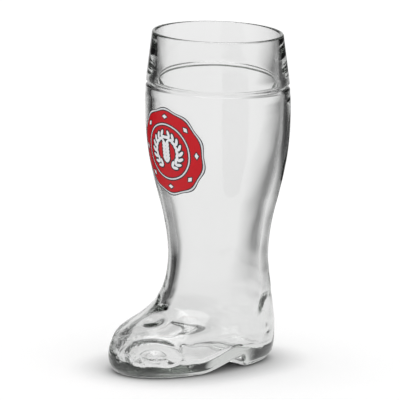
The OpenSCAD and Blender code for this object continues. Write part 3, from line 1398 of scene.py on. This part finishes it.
@dataclass(frozen=True)
class Studio:
    """A plain pale table, a soft bright surround and the photograph's viewpoint.

    The camera aims at a place in the boot's middle, which lies at `aim_px` in the photograph, and
    `pixel_mm` is what one of its pixels spans there. Glass that looks down sees the table glow with
    painted light: as bright as `under_glow` near the boot, a painted pool of light, and with the
    surround's tones farther off, painted shade and light.
    """

    surround: Surround = Surround()
    yaw_deg: float = 46.0
    tilt_deg: float = 11.3
    roll_deg: float = 1.9
    distance: float = 4.0
    aim: Point = (0.0, 0.0236, 0.120)
    photo_px: float = 400.0
    aim_px: Flat = (219.86, 195.62)
    pixel_mm: float = 94.8 / 132.2
    sensor_mm: float = 36.0
    view_end: float = 50.0
    table_r: float = 3.0
    table_sides: int = 64
    table_tone: float = 0.92
    table_glow: float = 0.14
    shadow_samples: int = 16
    shadow_reach: float = 0.032
    shadow_power: float = 0.8
    table_gap: float = 0.0003
    under_glow: float = 0.82
    under_reach: tuple[float, float] = (0.16, 0.50)
    under_shift: float = 0.11

    def away(self) -> Vector:
        """Level direction from the camera toward the boot."""
        a = math.radians(self.yaw_deg)
        return Vector((-math.sin(a), math.cos(a), 0.0))

    def bearing(
        self, tree: bpy.types.NodeTree, place: bpy.types.NodeSocket
    ) -> bpy.types.NodeSocket:
        """Add the bearing of a place or a direction about the boot.

        Args:
            tree: the tree that takes the nodes.
            place: the place or the direction.

        Returns:
            Degrees to the right of the line from the camera through the boot.
        """
        away = self.away()
        lateral, depth = (
            add_node(
                tree,
                "ShaderNodeVectorMath",
                {"operation": "DOT_PRODUCT"},
                {0: place, 1: tuple(axis)},
            ).outputs["Value"]
            for axis in (away.cross(Vector((0, 0, 1))), away)
        )
        turn = add_node(tree, "ShaderNodeMath", {"operation": "ARCTAN2"}, {0: lateral, 1: depth})
        degrees = add_node(
            tree, "ShaderNodeMath", {"operation": "DEGREES"}, {0: turn.outputs[0]}
        )
        return degrees.outputs[0]

    def glass_ray(
        self, tree: bpy.types.NodeTree, path: bpy.types.Node
    ) -> bpy.types.NodeSocket:
        """Tell what the glass mirrors or bends from what the camera sees.

        Args:
            tree: the tree that takes the node.
            path: the tree's light path.

        Returns:
            One for a mirrored or bent ray, or else nothing.
        """
        either = add_node(
            tree,
            "ShaderNodeMath",
            {"operation": "MAXIMUM"},
            {0: path.outputs["Is Glossy Ray"], 1: path.outputs["Is Transmission Ray"]},
        )
        return either.outputs[0]

    def build_floor(self) -> None:
        """Lay the round table under the boot, which keeps the boot's shadow."""
        mesh = bpy.data.meshes.new("table")
        turns = [2 * math.pi * i / self.table_sides for i in range(self.table_sides)]
        rim = [
            (self.table_r * math.cos(a), self.table_r * math.sin(a), -self.table_gap) for a in turns
        ]
        mesh.from_pydata(rim, [], [tuple(range(self.table_sides))])
        floor = bpy.data.objects.new("table", mesh)
        bpy.context.scene.collection.objects.link(floor)
        mat = bpy.data.materials.new("white_table")
        mat.use_nodes = True
        tree = mat.node_tree
        tree.nodes.clear()
        path = add_node(tree, "ShaderNodeLightPath")
        through = self.glass_ray(tree, path)
        place = add_node(tree, "ShaderNodeTexCoord")
        # Painted shade and light: to the glass the table glows with the surround's tones by
        # bearing, dark toward the dark cards and pale between them
        turn = self.bearing(tree, place.outputs["Object"])
        around = tone_ramp(tree, turn, self.surround.level, -180, 180)
        aside = self.away().cross(Vector((0, 0, 1))) * self.under_shift
        reach = add_node(
            tree,
            "ShaderNodeVectorMath",
            {"operation": "DISTANCE"},
            {0: place.outputs["Object"], 1: tuple(aside)},
        )
        far = add_node(
            tree,
            "ShaderNodeMapRange",
            {"interpolation_type": "SMOOTHSTEP"},
            {
                "Value": reach.outputs["Value"],
                "From Min": self.under_reach[0],
                "From Max": self.under_reach[1],
            },
        )
        # Painted light: near the boot, a little to one side, the table glows at a set brightness
        # for the glass, a pool of light painted where the glass would gather light onto it
        tone = add_node(
            tree,
            "ShaderNodeMix",
            {"data_type": "RGBA"},
            {0: far.outputs["Result"], 6: (self.under_glow,) * 3 + (1.0,), 7: around},
        )
        # The boot's contact shadow, which the eye sees and the glass does not
        open_sky = add_node(
            tree,
            "ShaderNodeAmbientOcclusion",
            {"samples": self.shadow_samples},
            {"Color": (1.0, 1.0, 1.0, 1.0), "Distance": self.shadow_reach},
        )
        bare = add_node(
            tree,
            "ShaderNodeMath",
            {"operation": "POWER"},
            {0: open_sky.outputs["AO"], 1: self.shadow_power},
        )
        plain, glow = (
            add_node(
                tree, "ShaderNodeMath", {"operation": "MULTIPLY"}, {0: bare.outputs[0], 1: gain}
            )
            for gain in (self.table_tone, self.table_glow)
        )
        shade = add_node(
            tree,
            "ShaderNodeMix",
            {"data_type": "RGBA"},
            {0: through, 6: plain.outputs[0], 7: (0.0, 0.0, 0.0, 1.0)},
        )
        diffuse = add_node(tree, "ShaderNodeBsdfDiffuse", None, {"Color": shade.outputs[2]})
        bright = add_node(
            tree,
            "ShaderNodeMix",
            {"data_type": "RGBA"},
            {0: through, 6: glow.outputs[0], 7: tone.outputs[2]},
        )
        lit = add_node(
            tree,
            "ShaderNodeMath",
            {"operation": "MAXIMUM"},
            {0: path.outputs["Is Camera Ray"], 1: through},
        )
        # To the glass the table is emission alone, painted light and shade; to the eye it is lifted
        # to an even white
        light = add_node(
            tree,
            "ShaderNodeEmission",
            None,
            {"Color": bright.outputs[2], "Strength": lit.outputs[0]},
        )
        both = add_node(
            tree, "ShaderNodeAddShader", None, {0: diffuse.outputs[0], 1: light.outputs[0]}
        )
        add_node(tree, "ShaderNodeOutputMaterial", None, {"Surface": both.outputs[0]})
        floor.data.materials.append(mat)

    def build_world(self) -> None:
        """Surround the boot: plain white to the eye, and the surround's tones to the glass."""
        world = bpy.data.worlds.new("studio")
        bpy.context.scene.world = world
        world.use_nodes = True
        tree = world.node_tree
        tree.nodes.clear()
        where = add_node(tree, "ShaderNodeTexCoord")
        turn = self.bearing(tree, where.outputs["Generated"])
        rise = add_node(
            tree,
            "ShaderNodeVectorMath",
            {"operation": "DOT_PRODUCT"},
            {0: where.outputs["Generated"], 1: (0.0, 0.0, 1.0)},
        )
        climb = add_node(
            tree, "ShaderNodeMath", {"operation": "ARCSINE"}, {0: rise.outputs["Value"]}
        )
        climb_deg = add_node(
            tree, "ShaderNodeMath", {"operation": "DEGREES"}, {0: climb.outputs[0]}
        )
        level = tone_ramp(tree, turn, self.surround.level, -180, 180)
        ceiling = tone_ramp(tree, climb_deg.outputs[0], self.surround.height, -90, 90)
        box = add_node(
            tree,
            "ShaderNodeMapRange",
            {"interpolation_type": "SMOOTHSTEP"},
            {
                "Value": climb_deg.outputs[0],
                "From Min": self.surround.box_edge[0],
                "From Max": self.surround.box_edge[1],
                "To Min": 1.0,
                "To Max": self.surround.box_gain,
            },
        )
        upward = add_node(
            tree,
            "ShaderNodeMapRange",
            {"interpolation_type": "SMOOTHSTEP"},
            {
                "Value": climb_deg.outputs[0],
                "From Min": self.surround.wall_fade[0],
                "From Max": self.surround.wall_fade[1],
            },
        )
        around = add_node(
            tree,
            "ShaderNodeMix",
            {"data_type": "RGBA"},
            {0: upward.outputs["Result"], 6: level, 7: ceiling},
        )
        path = add_node(tree, "ShaderNodeLightPath")
        seen = add_node(
            tree,
            "ShaderNodeMath",
            {"operation": "SUBTRACT", "use_clamp": True},
            {0: self.glass_ray(tree, path), 1: path.outputs["Diffuse Depth"]},
        )
        tone = add_node(
            tree,
            "ShaderNodeMix",
            {"data_type": "RGBA"},
            {0: seen.outputs[0], 6: (1.0, 1.0, 1.0, 1.0), 7: around.outputs[2]},
        )
        strength = add_node(
            tree,
            "ShaderNodeMix",
            {"data_type": "FLOAT"},
            {0: seen.outputs[0], 2: 1.0, 3: box.outputs["Result"]},
        )
        sky = add_node(
            tree,
            "ShaderNodeBackground",
            None,
            {"Color": tone.outputs[2], "Strength": strength.outputs[0]},
        )
        add_node(tree, "ShaderNodeOutputWorld", None, {"Surface": sky.outputs[0]})

    def build_camera(self) -> None:
        """Set the camera where the photograph was taken from."""
        data = bpy.data.cameras.new("photo_view")
        camera = bpy.data.objects.new("photo_view", data)
        bpy.context.scene.collection.objects.link(camera)
        e = math.radians(self.tilt_deg)
        ahead = self.away() * math.cos(e) - Vector((0, 0, 1)) * math.sin(e)
        right = ahead.cross(Vector((0, 0, 1))).normalized()
        up = right.cross(ahead)
        roll = math.radians(self.roll_deg)
        x_axis = right * math.cos(roll) + up * math.sin(roll)
        y_axis = -right * math.sin(roll) + up * math.cos(roll)
        turn = Matrix((x_axis, y_axis, -ahead)).transposed().to_4x4()
        turn.translation = Vector(self.aim) - ahead * self.distance
        camera.matrix_world = turn
        middle = self.photo_px / 2
        data.sensor_width = self.sensor_mm
        data.lens = self.distance / (self.pixel_mm * MM) * self.sensor_mm / self.photo_px
        data.clip_end = self.view_end
        data.shift_x = (middle - self.aim_px[0]) / self.photo_px
        data.shift_y = (self.aim_px[1] - middle) / self.photo_px
        bpy.context.scene.camera = camera


# Putting it together


def dress(piece: bpy.types.Object, node: str) -> None:
    """Let a piece stand for its CAD node, which it hides, and ride on the part's body."""
    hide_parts(node)
    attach(piece, "root")
    LOG.info("piece %s stands for %s", piece.name, node)


def main() -> None:
    """Build the boot glass, its badge, the table, the light and the camera."""
    logging.basicConfig(level=logging.INFO, format="%(name)s: %(message)s")
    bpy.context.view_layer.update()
    form = BootForm()
    vessel = GlassVessel(form, SodaLimeGlass())
    dress(vessel.build(), "boot_glass")
    for ink, piece in Badge(form, vessel.loft).build().items():
        dress(piece, ink.value)
    studio = Studio()
    studio.build_floor()
    studio.build_world()
    studio.build_camera()
    scene = bpy.context.scene
    scene.view_settings.view_transform = "Standard"
    # Light crosses the thick sole by many inner reflections
    scene.cycles.max_bounces = MOST_BOUNCES
    scene.cycles.glossy_bounces = GLASS_BOUNCES
    scene.cycles.transmission_bounces = GLASS_BOUNCES


if __name__ == "__main__":
    main()
